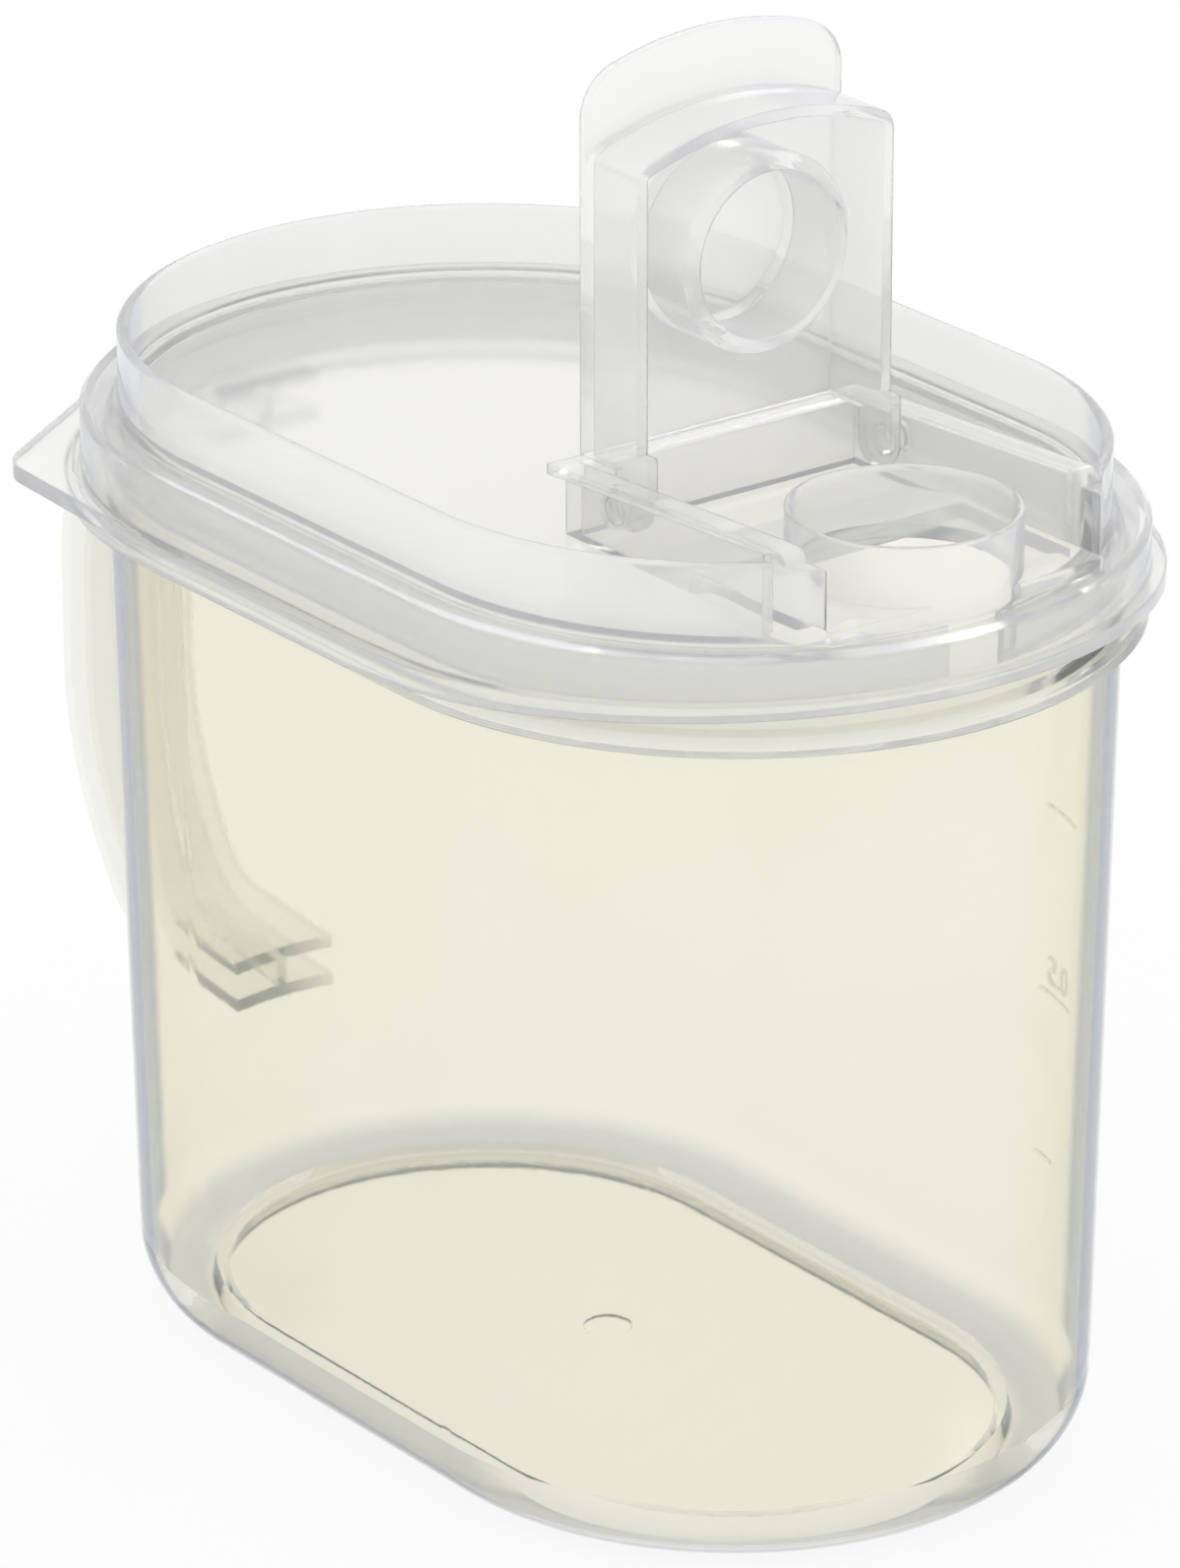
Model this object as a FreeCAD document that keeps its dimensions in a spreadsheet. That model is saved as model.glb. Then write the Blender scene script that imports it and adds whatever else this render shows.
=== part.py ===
import FreeCAD, Part
import math
import os
import re
import Sketcher
from FreeCAD import Placement, Rotation, Vector

# Baby formula pitcher, in millimetres.
# The origin is the centre of the base. X points to the spout, Y to the side, Z up.
# In plan every wall is an oval: two straight sides joined by two half circles, whose
# centres lie on the X axis. A radius below is measured from those two centres.

doc = FreeCAD.newDocument("FormulaPitcher")
sheet = doc.addObject("Spreadsheet::Sheet", "Sizes")
derived = {}


def derive(name, text):
    """Name a formula of sizes, so that what seats together shares it."""
    derived[name] = text


def formula(text):
    """Write a formula of size names in the form that the document evaluates."""
    def word(match):
        name = match.group(0)
        if name in derived:
            return "(" + formula(derived[name]) + ")"
        if name in sizes:
            return "Sizes." + name
        return name
    return re.sub(r"[A-Za-z_][A-Za-z_0-9]*", word, text)


def number(text):
    """Work a formula out as a plain number."""
    value = sheet.evalExpression(formula(text))
    return float(getattr(value, "Value", value))


# Driving sizes, in millimetres, and angles, in degrees.
sizes = {
    # Plan of the container.
    "half_straight": 26.0,
    "base_radius": 45.05,
    "mouth_radius": 47.4,
    # Container wall, floor and foot.
    "wall": 1.5,
    "rim_height": 110.4,
    "base_round": 10.0,
    "inner_round": 7.9,
    "foot_width": 1.05,
    "foot_bevel": 0.7,
    "panel_lift": 2.6,
    "floor_wall": 1.5,
    "gutter_bevel": 0.7,
    "gate_radius": 3.1,
    "gate_depth": 0.4,
    # Flange ring round the mouth and the neck above it.
    "flange_reach": 3.2,
    "flange_thickness": 2.7,
    "flange_bevel": 0.6,
    "neck_rise": 8.7,
    "neck_bevel": 0.4,
    "snap_reach": 0.8,
    "snap_rise": 4.6,
    "snap_height": 1.6,
    # Handle, an I section swept along one curve.
    "handle_depth": 7.0,
    "handle_width": 15.7,
    "handle_flange": 1.7,
    "handle_web": 1.5,
    "handle_drop": 3.0,
    "handle_reach": 34.0,
    "handle_top_round": 31.0,
    "knee_height": 50.5,
    "knee_round": 45.0,
    "toe_reach": 21.5,
    "toe_drop": 20.2,
    "toe_round": 12.0,
    "arm_drop": 2.4,
    # Lid.
    "fit_gap": 0.3,
    "lid_plate": 1.5,
    "skirt_gap": 1.8,
    "skirt_wall": 1.5,
    "shoulder_width": 4.85,
    "shoulder_bevel": 0.8,
    "collar_height": 9.5,
    "collar_wall": 1.4,
    "collar_bevel": 0.4,
    "collar_fillet": 0.8,
    "plug_wall": 1.5,
    "plug_depth": 7.6,
    "lip_wall": 1.4,
    "lip_gap": 0.6,
    "lip_overlap": 0.9,
    "lip_height": 3.3,
    "lip_rise": 3.0,
    "trim_rise": 4.7,
    "trim_back": 9.0,
    "recess_depth": 1.8,
    # Pull tab at one corner of the lid.
    "tab_thickness": 2.1,
    "tab_drop": 0.4,
    "tab_inset": 0.3,
    "tab_edge_radius": 55.1,
    "tab_front_angle": 266.6,
    "tab_edge_angle": 214.0,
    "tab_tail": 6.0,
    "tab_tail_angle": 200.0,
    "tab_round": 6.5,
    # Spout well: two ribs, a cross wall and the pouring ring.
    "rib_wall": 1.6,
    "rib_band": 3.2,
    "band_height": 1.4,
    "rib_back_height": 8.9,
    "rib_front_height": 11.2,
    "rib_end": 40.4,
    "horn_angle": 45,
    "horn_reach": 44.0,
    "rib_round": 2.0,
    "floor_rise": 2.0,
    "floor_back": 7.0,
    "floor_front": 44.9,
    "floor_bulge": 1.0,
    "floor_round": 150,
    "plug_inset": 38.5,
    "well_back": 3.0,
    "pour_offset": 32.6,
    "pour_bore": 13.35,
    "pour_wall": 1.0,
    "pour_height": 7.6,
    "pour_bevel": 0.5,
    # Flip cap, drawn open: its plate stands upright on the hinge.
    "hinge_offset": 4.6,
    "hinge_rise": 3.6,
    "pin_radius": 1.9,
    "pin_reach": 1.2,
    "cap_half_width": 19.4,
    "cap_side_gap": 1.4,
    "cap_plate": 1.3,
    "cap_wall": 1.5,
    "cap_headroom": 5.0,
    "cap_depth": 10.2,
    "cap_gap": 0.4,
    "cap_corner": 3.0,
    "cap_inner_corner": 0.6,
    "stopper_radius": 12.6,
    "stopper_wall": 2.1,
    "stopper_bevel": 0.9,
    "stopper_reach": 10.9,
    "stopper_offset": 0.3,
    "thumb_reach": 8.2,
    "thumb_crown": 50.0,
    "thumb_corner": 6.7,
}

for row, (name, value) in enumerate(sizes.items(), start=1):
    sheet.set("A%d" % row, name)
    sheet.set("B%d" % row, str(value))
    sheet.setAlias("B%d" % row, name)

# Where the pieces meet.
derive("foot_radius", "base_radius - base_round - foot_width")
derive("gutter_radius", "base_radius - wall - inner_round")
derive("rim_top", "rim_height + flange_thickness")
derive("neck_top", "rim_top + neck_rise")
derive("mouth_inner", "mouth_radius - wall")
derive("flange_radius", "mouth_radius + flange_reach")
derive("deck_under", "neck_top + fit_gap")
derive("deck_top", "deck_under + lid_plate")
derive("skirt_inner", "mouth_radius + skirt_gap")
derive("skirt_radius", "skirt_inner + skirt_wall")
derive("collar_radius", "skirt_radius - shoulder_width")
derive("plug_radius", "mouth_inner - fit_gap")
derive("lip_inner", "flange_radius + lip_gap")
derive("lip_radius", "lip_inner + lip_wall")
derive("lip_bottom", "rim_top - lip_overlap")
derive("lip_top", "lip_bottom + lip_height")
derive("rib_inner", "cap_half_width + cap_side_gap")
derive("hinge_x", "half_straight + hinge_offset")
derive("floor_top", "deck_top + floor_rise")
derive("hinge_z", "floor_top + hinge_rise")
derive("pour_x", "half_straight + pour_offset")
derive("pour_top", "floor_top + pour_height")
derive("pour_radius", "pour_bore + pour_wall")
derive("leg_radius", "hinge_rise - cap_gap")
derive("cross_front", "half_straight - well_back")
derive("cross_back", "cross_front - rib_band")
derive("cross_top", "deck_top + rib_back_height")
derive("plate_front", "hinge_x - (pour_top + cap_headroom - hinge_z)")
derive("plate_back", "plate_front - cap_plate")
derive("skirt_edge", "plate_front + cap_depth")
derive("plate_foot", "cross_top + fit_gap")
derive("cap_centre", "hinge_z + half_straight - hinge_x")
derive("stopper_z", "hinge_z + pour_x - hinge_x + stopper_offset")
derive("thumb_top", "cap_centre + skirt_radius + thumb_reach")
derive("handle_start", "half_straight + mouth_inner - 2 * wall")
derive("handle_top", "rim_height - handle_drop")
derive("handle_back", "half_straight + mouth_radius + handle_reach")
derive("toe_height", "knee_height - toe_drop")
derive("arm_height", "toe_height - arm_drop")
derive("toe_back", "half_straight + mouth_radius + toe_reach")
derive("arm_end", "half_straight + base_radius - 3 * wall")
derive("tab_root", "lip_inner + lip_wall / 2")
derive("ramp_start", "half_straight - trim_back")
derive("ramp_end", "half_straight + lip_radius + 1")


def new_body(name):
    """Start the body of one sub-part."""
    body = doc.addObject("PartDesign::Body", name)
    body.Label = name
    return body


def plane(body, role):
    """Find one of the body's own origin planes."""
    for feature in body.Origin.OriginFeatures:
        if feature.Role == role:
            return feature
    raise RuntimeError("no plane " + role)


def new_sketch(body, name, role, offset="0"):
    """Lay a sketch on an origin plane, moved along its normal."""
    sketch = body.newObject("Sketcher::SketchObject", name)
    sketch.AttachmentSupport = [(plane(body, role), "")]
    sketch.MapMode = "FlatFace"
    sketch.AttachmentOffset = Placement(Vector(0, 0, number(offset)), Rotation())
    sketch.setExpression("AttachmentOffset.Base.z", formula(offset))
    return sketch


def fix(sketch, kind, places, text):
    """Add one dimension to a sketch and tie it to a formula."""
    index = sketch.addConstraint(Sketcher.Constraint(kind, *places, number(text)))
    name = "%s_%d" % (kind, index)
    sketch.renameConstraint(index, name)
    sketch.setExpression("Constraints." + name, formula(text))


def fix_point(sketch, edge, end, across, up):
    """Place a point of a sketch at two formulas."""
    fix(sketch, "DistanceX", (edge, end), across)
    fix(sketch, "DistanceY", (edge, end), up)


def line(sketch, start, end):
    """Draw a straight edge."""
    return sketch.addGeometry(Part.LineSegment(Vector(*start, 0), Vector(*end, 0)), False)


def fillet_arc(before, corner, after, radius):
    """Work out the two tangent points and the arc that rounds a corner."""
    here = Vector(*corner, 0)
    back = (Vector(*before, 0) - here).normalize()
    ahead = (Vector(*after, 0) - here).normalize()
    half = back.getAngle(ahead) / 2
    start = here + back * (radius / math.tan(half))
    end = here + ahead * (radius / math.tan(half))
    centre = here + (back + ahead).normalize() * (radius / math.sin(half))
    middle = centre + (here - centre).normalize() * radius
    return start, end, Part.Arc(start, middle, end)


def outline(sketch, corners, closed=True):
    """Draw a chain of straight edges, closed unless told otherwise.

    Each corner is its two formulas and, where it is rounded, the formula of its radius.
    """
    points = [(number(corner[0]), number(corner[1])) for corner in corners]
    count = len(points)
    starts = []
    ends = []
    arcs = []
    for i, corner in enumerate(corners):
        arc = None
        start = points[i]
        end = points[i]
        if len(corner) > 2:
            after = points[(i + 1) % count]
            first, last, arc = fillet_arc(points[i - 1], points[i], after, number(corner[2]))
            start = (first.x, first.y)
            end = (last.x, last.y)
        starts.append(start)
        ends.append(end)
        arcs.append(arc)
    edges = [line(sketch, ends[i], starts[i + 1]) for i in range(count - 1)]
    if closed:
        edges.append(line(sketch, ends[-1], starts[0]))
    else:
        fix_point(sketch, edges[0], 1, corners[0][0], corners[0][1])
        fix_point(sketch, edges[-1], 2, corners[-1][0], corners[-1][1])
    joints = range(count) if closed else range(1, count - 1)
    for i in joints:
        before = edges[i - 1]
        after = edges[i]
        if arcs[i] is None:
            sketch.addConstraint(Sketcher.Constraint("Coincident", before, 2, after, 1))
            fix_point(sketch, after, 1, corners[i][0], corners[i][1])
            continue
        bend = sketch.addGeometry(arcs[i], False)
        here = Vector(starts[i][0], starts[i][1], 0)
        near = 1 if sketch.getPoint(bend, 1).distanceToPoint(here) < 0.000001 else 2
        sketch.addConstraint(Sketcher.Constraint("Tangent", before, 2, bend, near))
        sketch.addConstraint(Sketcher.Constraint("Tangent", bend, 3 - near, after, 1))
        fix(sketch, "Radius", (bend,), corners[i][2])
        vertex = sketch.addGeometry(Part.Point(Vector(points[i][0], points[i][1], 0)), True)
        sketch.addConstraint(Sketcher.Constraint("PointOnObject", vertex, 1, before))
        sketch.addConstraint(Sketcher.Constraint("PointOnObject", vertex, 1, after))
        fix_point(sketch, vertex, 1, corners[i][0], corners[i][1])


def circle(sketch, across, up, radius):
    """Draw a whole circle."""
    centre = Vector(number(across), number(up), 0)
    ring = sketch.addGeometry(Part.Circle(centre, Vector(0, 0, 1), number(radius)), False)
    fix_point(sketch, ring, 3, across, up)
    fix(sketch, "Radius", (ring,), radius)


def oval(sketch, radius):
    """Draw the oval of one radius: two sides and two half circles."""
    half = number("half_straight")
    reach = number(radius)
    up = Vector(0, 0, 1)
    right = Part.ArcOfCircle(Part.Circle(Vector(half, 0, 0), up, reach), -math.pi / 2, math.pi / 2)
    left = Part.ArcOfCircle(Part.Circle(Vector(-half, 0, 0), up, reach), math.pi / 2, 1.5 * math.pi)
    near = sketch.addGeometry(right, False)
    top = line(sketch, (half, reach), (-half, reach))
    far = sketch.addGeometry(left, False)
    bottom = line(sketch, (-half, -reach), (half, -reach))
    chain = [near, top, far, bottom]
    for i in range(4):
        after = chain[(i + 1) % 4]
        sketch.addConstraint(Sketcher.Constraint("Tangent", chain[i], 2, after, 1))
    sketch.addConstraint(Sketcher.Constraint("Equal", near, far))
    sketch.addConstraint(Sketcher.Constraint("PointOnObject", near, 3, -1))
    sketch.addConstraint(Sketcher.Constraint("Symmetric", near, 3, far, 3, -1, 1))
    fix(sketch, "DistanceX", (near, 3), "half_straight")
    fix(sketch, "Radius", (near,), radius)


def arch(sketch, half_width, foot, centre, radius, corner):
    """Draw an upright panel: flat foot, two sides, rounded corners and an arched top."""
    wide = number(half_width)
    low = number(foot)
    middle = number(centre)
    reach = number(radius)
    bend = number(corner)
    rise = math.sqrt((reach - bend) ** 2 - (wide - bend) ** 2)
    turn = math.atan2(rise, wide - bend)
    up = Vector(0, 0, 1)
    base = line(sketch, (-wide, low), (wide, low))
    right = line(sketch, (wide, low), (wide, middle + rise))
    ring = Part.Circle(Vector(wide - bend, middle + rise, 0), up, bend)
    first = sketch.addGeometry(Part.ArcOfCircle(ring, 0, turn), False)
    ring = Part.Circle(Vector(0, middle, 0), up, reach)
    crown = sketch.addGeometry(Part.ArcOfCircle(ring, turn, math.pi - turn), False)
    ring = Part.Circle(Vector(bend - wide, middle + rise, 0), up, bend)
    second = sketch.addGeometry(Part.ArcOfCircle(ring, math.pi - turn, math.pi), False)
    left = line(sketch, (-wide, middle + rise), (-wide, low))
    sketch.addConstraint(Sketcher.Constraint("Coincident", base, 2, right, 1))
    sketch.addConstraint(Sketcher.Constraint("Tangent", right, 2, first, 1))
    sketch.addConstraint(Sketcher.Constraint("Tangent", first, 2, crown, 1))
    sketch.addConstraint(Sketcher.Constraint("Tangent", crown, 2, second, 1))
    sketch.addConstraint(Sketcher.Constraint("Tangent", second, 2, left, 1))
    sketch.addConstraint(Sketcher.Constraint("Coincident", left, 2, base, 1))
    sketch.addConstraint(Sketcher.Constraint("Vertical", right))
    sketch.addConstraint(Sketcher.Constraint("Vertical", left))
    sketch.addConstraint(Sketcher.Constraint("Symmetric", base, 1, base, 2, -2))
    sketch.addConstraint(Sketcher.Constraint("Equal", first, second))
    sketch.addConstraint(Sketcher.Constraint("PointOnObject", crown, 3, -2))
    fix_point(sketch, base, 2, half_width, foot)
    fix(sketch, "DistanceY", (crown, 3), centre)
    fix(sketch, "Radius", (crown,), radius)
    fix(sketch, "Radius", (first,), corner)


def settle(body, feature):
    """Make a feature the end of its body and work the model out."""
    body.Tip = feature
    doc.recompute()
    return feature


def pad(body, name, sketch, length, side="One side", reverse=False):
    """Raise a sketch into the body."""
    feature = body.newObject("PartDesign::Pad", name)
    feature.Profile = sketch
    feature.SideType = side
    feature.Reversed = reverse
    feature.Length = number(length)
    feature.setExpression("Length", formula(length))
    return settle(body, feature)


def pocket(body, name, sketch, length, side="One side", reverse=False):
    """Cut a sketch out of the body and make sure that it took something away."""
    before = body.Shape.Volume
    feature = body.newObject("PartDesign::Pocket", name)
    feature.Profile = sketch
    feature.SideType = side
    feature.Reversed = reverse
    feature.Length = number(length)
    feature.setExpression("Length", formula(length))
    settle(body, feature)
    if body.Shape.Volume > before - 0.01:
        raise RuntimeError(name + " cuts nothing")
    return feature


def mirror(body, name, features, role):
    """Repeat features on the other side of an origin plane."""
    feature = body.newObject("PartDesign::Mirrored", name)
    feature.Originals = features
    feature.MirrorPlane = (plane(body, role), [""])
    return settle(body, feature)


def oval_radius(point):
    """Measure how far a point lies from the line between the oval's two centres."""
    along = max(0.0, abs(point.x) - number("half_straight"))
    return math.hypot(along, point.y)


def oval_edges(feature, radius, height):
    """List the edges that run round the oval at one radius and height."""
    found = []
    for i, edge in enumerate(feature.Shape.Edges):
        middle = edge.valueAt((edge.FirstParameter + edge.LastParameter) / 2)
        places = [vertex.Point for vertex in edge.Vertexes] + [middle]
        if all(abs(oval_radius(place) - number(radius)) < 0.001
               and abs(place.z - number(height)) < 0.001 for place in places):
            found.append("Edge%d" % (i + 1))
    return found


def bevel(body, name, edges, width):
    """Bevel some edges of the body's last feature."""
    if not edges:
        raise RuntimeError(name + " found no edge")
    base = body.Tip
    feature = body.newObject("PartDesign::Chamfer", name)
    feature.Base = (base, edges)
    feature.Size = number(width)
    feature.setExpression("Size", formula(width))
    return settle(body, feature)


def oval_solid(body, name, corners):
    """Run a section round the oval: turned at both ends, straight along both sides."""
    turned = new_sketch(body, name + "_end_section", "YZ_Plane", "half_straight")
    outline(turned, corners)
    end = body.newObject("PartDesign::Revolution", name + "_end")
    end.Profile = turned
    end.ReferenceAxis = (turned, ["V_Axis"])
    end.Angle = 180
    end.Reversed = True
    settle(body, end)
    straight = new_sketch(body, name + "_side_section", "YZ_Plane")
    outline(straight, corners)
    side = pad(body, name + "_side", straight, "2 * half_straight", "Symmetric")
    mirror(body, name + "_other_side", [side], "XZ_Plane")
    return mirror(body, name + "_other_end", [end], "YZ_Plane")


def make_container():
    """Build the jug: foot, raised base panel, tapered wall, flange ring and neck."""
    body = new_body("container")
    foot = [("0", "panel_lift"),
            ("foot_radius - foot_bevel", "panel_lift"),
            ("foot_radius", "0"),
            ("base_radius", "0", "base_round")]
    flange = [("mouth_radius", "rim_height"),
              ("flange_radius - flange_bevel", "rim_height"),
              ("flange_radius", "rim_height + flange_bevel"),
              ("flange_radius", "rim_top - flange_bevel"),
              ("flange_radius - flange_bevel", "rim_top"),
              ("mouth_radius", "rim_top")]
    neck = [("mouth_radius", "neck_top - snap_rise"),
            ("mouth_radius + snap_reach", "neck_top - snap_rise + snap_height / 2"),
            ("mouth_radius", "neck_top - snap_rise + snap_height"),
            ("mouth_radius", "neck_top - neck_bevel"),
            ("mouth_radius - neck_bevel", "neck_top"),
            ("mouth_inner", "neck_top")]
    inside = [("mouth_inner", "rim_height"),
              ("base_radius - wall", "floor_wall + inner_round"),
              ("base_radius - wall - inner_round / 4", "floor_wall + inner_round / 4"),
              ("gutter_radius", "floor_wall"),
              ("gutter_radius - gutter_bevel", "panel_lift + floor_wall"),
              ("0", "panel_lift + floor_wall")]
    oval_solid(body, "jug", foot + flange + neck + inside)
    mark = new_sketch(body, "gate_outline", "XY_Plane", "panel_lift")
    circle(mark, "0", "0", "gate_radius")
    pocket(body, "gate", mark, "gate_depth", reverse=True)
    return body


def make_handle():
    """Build the strap handle: an I section on one curve, seated on the jug's outer wall."""
    strap = new_body("handle_strap")
    path = new_sketch(strap, "handle_path", "XZ_Plane")
    outline(path, [("-handle_start", "handle_top"),
                   ("-handle_back", "handle_top", "handle_top_round"),
                   ("-handle_back", "knee_height", "knee_round"),
                   ("-toe_back", "toe_height", "toe_round"),
                   ("-arm_end", "arm_height")], closed=False)
    section = new_sketch(strap, "handle_section", "YZ_Plane", "-handle_start")
    high = "handle_top + handle_depth / 2"
    low = "handle_top - handle_depth / 2"
    under = "handle_top + handle_depth / 2 - handle_flange"
    over = "handle_top - handle_depth / 2 + handle_flange"
    wide = "handle_width / 2"
    web = "handle_web / 2"
    outline(section, [("-" + wide, low),
                      (wide, low),
                      (wide, over),
                      (web, over),
                      (web, under),
                      (wide, under),
                      (wide, high),
                      ("-" + wide, high),
                      ("-" + wide, under),
                      ("-" + web, under),
                      ("-" + web, over),
                      ("-" + wide, over)])
    sweep = strap.newObject("PartDesign::AdditivePipe", "handle_sweep")
    doc.recompute()
    sweep.Profile = section
    sweep.Spine = (path, ["Edge%d" % (i + 1) for i in range(len(path.Shape.Edges))])
    settle(strap, sweep)
    jug = new_body("jug_outside")
    oval_solid(jug, "envelope", [("0", "0"),
                                 ("base_radius", "0", "base_round"),
                                 ("mouth_radius", "rim_height"),
                                 ("flange_radius - flange_bevel", "rim_height"),
                                 ("flange_radius", "rim_height + flange_bevel"),
                                 ("flange_radius", "rim_top"),
                                 ("0", "rim_top")])
    handle = doc.addObject("Part::Cut", "handle")
    handle.Label = "handle"
    handle.Base = strap
    handle.Tool = jug
    doc.recompute()
    return handle


def make_lid():
    """Build the lid: lip, pull tab, skirt, shoulder, collar, plug and spout well."""
    body = new_body("lid")
    lip = new_sketch(body, "lip_outline", "XY_Plane", "lip_bottom")
    oval(lip, "lip_radius")
    pad(body, "lip", lip, "lip_height + lip_rise")
    over = new_sketch(body, "lip_top_line", "XZ_Plane")
    outline(over, [("-ramp_end", "lip_top"),
                   ("ramp_start", "lip_top"),
                   ("ramp_end", "lip_top + lip_rise"),
                   ("ramp_end", "lip_top + 2 * lip_rise"),
                   ("-ramp_end", "lip_top + 2 * lip_rise")])
    pocket(body, "lip_top_cut", over, "3 * lip_radius", "Symmetric")
    make_tab(body)
    skirt = new_sketch(body, "skirt_outline", "XY_Plane", "lip_bottom")
    oval(skirt, "skirt_radius")
    pad(body, "skirt", skirt, "deck_top - lip_bottom")
    collar = new_sketch(body, "collar_outline", "XY_Plane", "deck_top")
    oval(collar, "collar_radius")
    oval(collar, "collar_radius - collar_wall")
    pad(body, "collar", collar, "collar_height")
    crest = "deck_top + collar_height"
    rims = oval_edges(body.Tip, "collar_radius", crest)
    rims += oval_edges(body.Tip, "collar_radius - collar_wall", crest)
    bevel(body, "collar_rim", rims, "collar_bevel")
    bevel(body, "collar_foot", oval_edges(body.Tip, "collar_radius", "deck_top"), "collar_fillet")
    bevel(body, "shoulder", oval_edges(body.Tip, "skirt_radius", "deck_top"), "shoulder_bevel")
    recess = new_sketch(body, "recess_outline", "XY_Plane", "lip_bottom")
    oval(recess, "lip_inner")
    pocket(body, "recess", recess, "recess_depth", reverse=True)
    hollow = new_sketch(body, "hollow_outline", "XY_Plane", "lip_bottom")
    oval(hollow, "skirt_inner")
    pocket(body, "hollow", hollow, "deck_under - lip_bottom", reverse=True)
    plug = new_sketch(body, "plug_outline", "XY_Plane", "deck_under")
    oval(plug, "plug_radius")
    oval(plug, "plug_radius - plug_wall")
    pad(body, "plug", plug, "plug_depth", reverse=True)
    trim = new_sketch(body, "trim_line", "XZ_Plane")
    outline(trim, [("ramp_start", "lip_bottom"),
                   ("ramp_end", "lip_bottom - lip_height"),
                   ("ramp_end", "lip_bottom + trim_rise")])
    pocket(body, "trim", trim, "3 * lip_radius", "Symmetric")
    make_well(body)
    return body


def make_tab(body):
    """Add the pull tab that stands out from the lip at one rear corner."""
    sketch = new_sketch(body, "tab_outline", "XY_Plane", "lip_top + tab_drop - tab_thickness")
    edge = "lip_radius - tab_inset"
    normal = "(tab_edge_angle - 180)"
    front = "(tab_front_angle - 180)"
    spread = "sin(tab_front_angle - tab_edge_angle)"
    foot_x = "tab_edge_radius * cos(%s)" % normal
    foot_y = "tab_edge_radius * sin(%s)" % normal
    corner_x = ("(tab_edge_radius * sin(%s) - (%s) * sin(%s)) / %s"
                % (front, edge, normal, spread))
    corner_y = ("((%s) * cos(%s) - tab_edge_radius * cos(%s)) / %s"
                % (edge, normal, front, spread))
    corners = [("-half_straight - %s" % corner_x, "-%s" % corner_y, "tab_round"),
               ("-half_straight - (%s) - tab_tail * sin(%s)" % (foot_x, normal),
                "-(%s) + tab_tail * cos(%s)" % (foot_y, normal))]
    for i in range(6):
        turn = "(tab_tail_angle + %d * (270 - tab_tail_angle) / 5)" % i
        corners.append(("-half_straight + tab_root * cos(%s)" % turn, "tab_root * sin(%s)" % turn))
    corners.append(("-half_straight - (%s) * cos(%s)" % (edge, front),
                    "-(%s) * sin(%s)" % (edge, front)))
    outline(sketch, corners)
    pad(body, "tab", sketch, "tab_thickness")


def make_well(body):
    """Open the collar at the spout and add the ribs, cross wall and pouring ring."""
    gap = new_sketch(body, "gap_outline", "XY_Plane", "deck_top")
    outline(gap, [("pour_x - pour_radius", "-rib_inner"),
                  ("ramp_end", "-rib_inner"),
                  ("ramp_end", "rib_inner"),
                  ("pour_x - pour_radius", "rib_inner")])
    pocket(body, "gap", gap, "2 * collar_height", reverse=True)
    root = "deck_top - lid_plate / 2"
    back_top = "deck_top + rib_back_height"
    front_top = "deck_top + rib_front_height"
    end_x = "half_straight + rib_end"
    side = new_sketch(body, "rib_outline", "XZ_Plane", "rib_inner")
    outline(side, [("cross_back", root),
                   (end_x, root),
                   (end_x, front_top, "rib_round"),
                   ("cross_back", back_top)])
    rib = pad(body, "rib", side, "rib_band")
    inner_reach = "sqrt((collar_radius - collar_wall) ^ 2 - (rib_inner + rib_band) ^ 2)"
    under = new_sketch(body, "band_outline", "XZ_Plane", "rib_inner + rib_band")
    outline(under, [("cross_back - 1", "deck_top"),
                    ("half_straight + %s - band_height" % inner_reach, "deck_top"),
                    ("half_straight + %s - band_height" % inner_reach,
                     front_top + " - band_height"),
                    ("cross_back - 1", back_top + " - band_height")])
    band = pocket(body, "band", under, "rib_band - rib_wall")
    mirror(body, "other_rib", [rib, band], "XZ_Plane")
    make_horns(body, root)
    across = new_sketch(body, "cross_outline", "YZ_Plane", "cross_back")
    outline(across, [("-rib_inner - rib_wall", root),
                     ("rib_inner + rib_wall", root),
                     ("rib_inner + rib_wall", "cross_top"),
                     ("-rib_inner - rib_wall", "cross_top")])
    pad(body, "cross_wall", across, "rib_band")
    behind = new_sketch(body, "cross_band_outline", "YZ_Plane", "cross_back")
    outline(behind, [("-rib_inner - rib_band - 1", "deck_top"),
                     ("rib_inner + rib_band + 1", "deck_top"),
                     ("rib_inner + rib_band + 1", "cross_top - band_height"),
                     ("-rib_inner - rib_band - 1", "cross_top - band_height")])
    pocket(body, "cross_band", behind, "rib_band - rib_wall", reverse=True)
    make_floor(body, root)
    ring = new_sketch(body, "pour_outline", "XY_Plane", root)
    circle(ring, "pour_x", "0", "pour_radius")
    pad(body, "pour_ring", ring, "pour_top - (%s)" % root)
    bore = new_sketch(body, "bore_outline", "XY_Plane", "pour_top")
    circle(bore, "pour_x", "0", "pour_bore")
    pocket(body, "pour_hole", bore, "pour_top - lip_bottom + lip_height")
    mouth = ring_edges(body.Tip, "pour_bore", "z", "pour_top")
    bevel(body, "pour_edge", mouth, "pour_bevel")
    hollow = new_sketch(body, "floor_hollow_outline", "XY_Plane", "deck_under")
    outline(hollow, [("pour_x - pour_radius", "-rib_inner"),
                     ("half_straight + plug_inset", "-rib_inner"),
                     ("half_straight + plug_inset", "rib_inner"),
                     ("pour_x - pour_radius", "rib_inner")])
    pocket(body, "floor_hollow", hollow, "floor_rise", reverse=True)
    pin = new_sketch(body, "pin_hole_outline", "XZ_Plane")
    circle(pin, "hinge_x", "hinge_z", "pin_radius + fit_gap")
    pocket(body, "pin_holes", pin, "2 * rib_inner + 3 * rib_band", "Symmetric")


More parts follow.
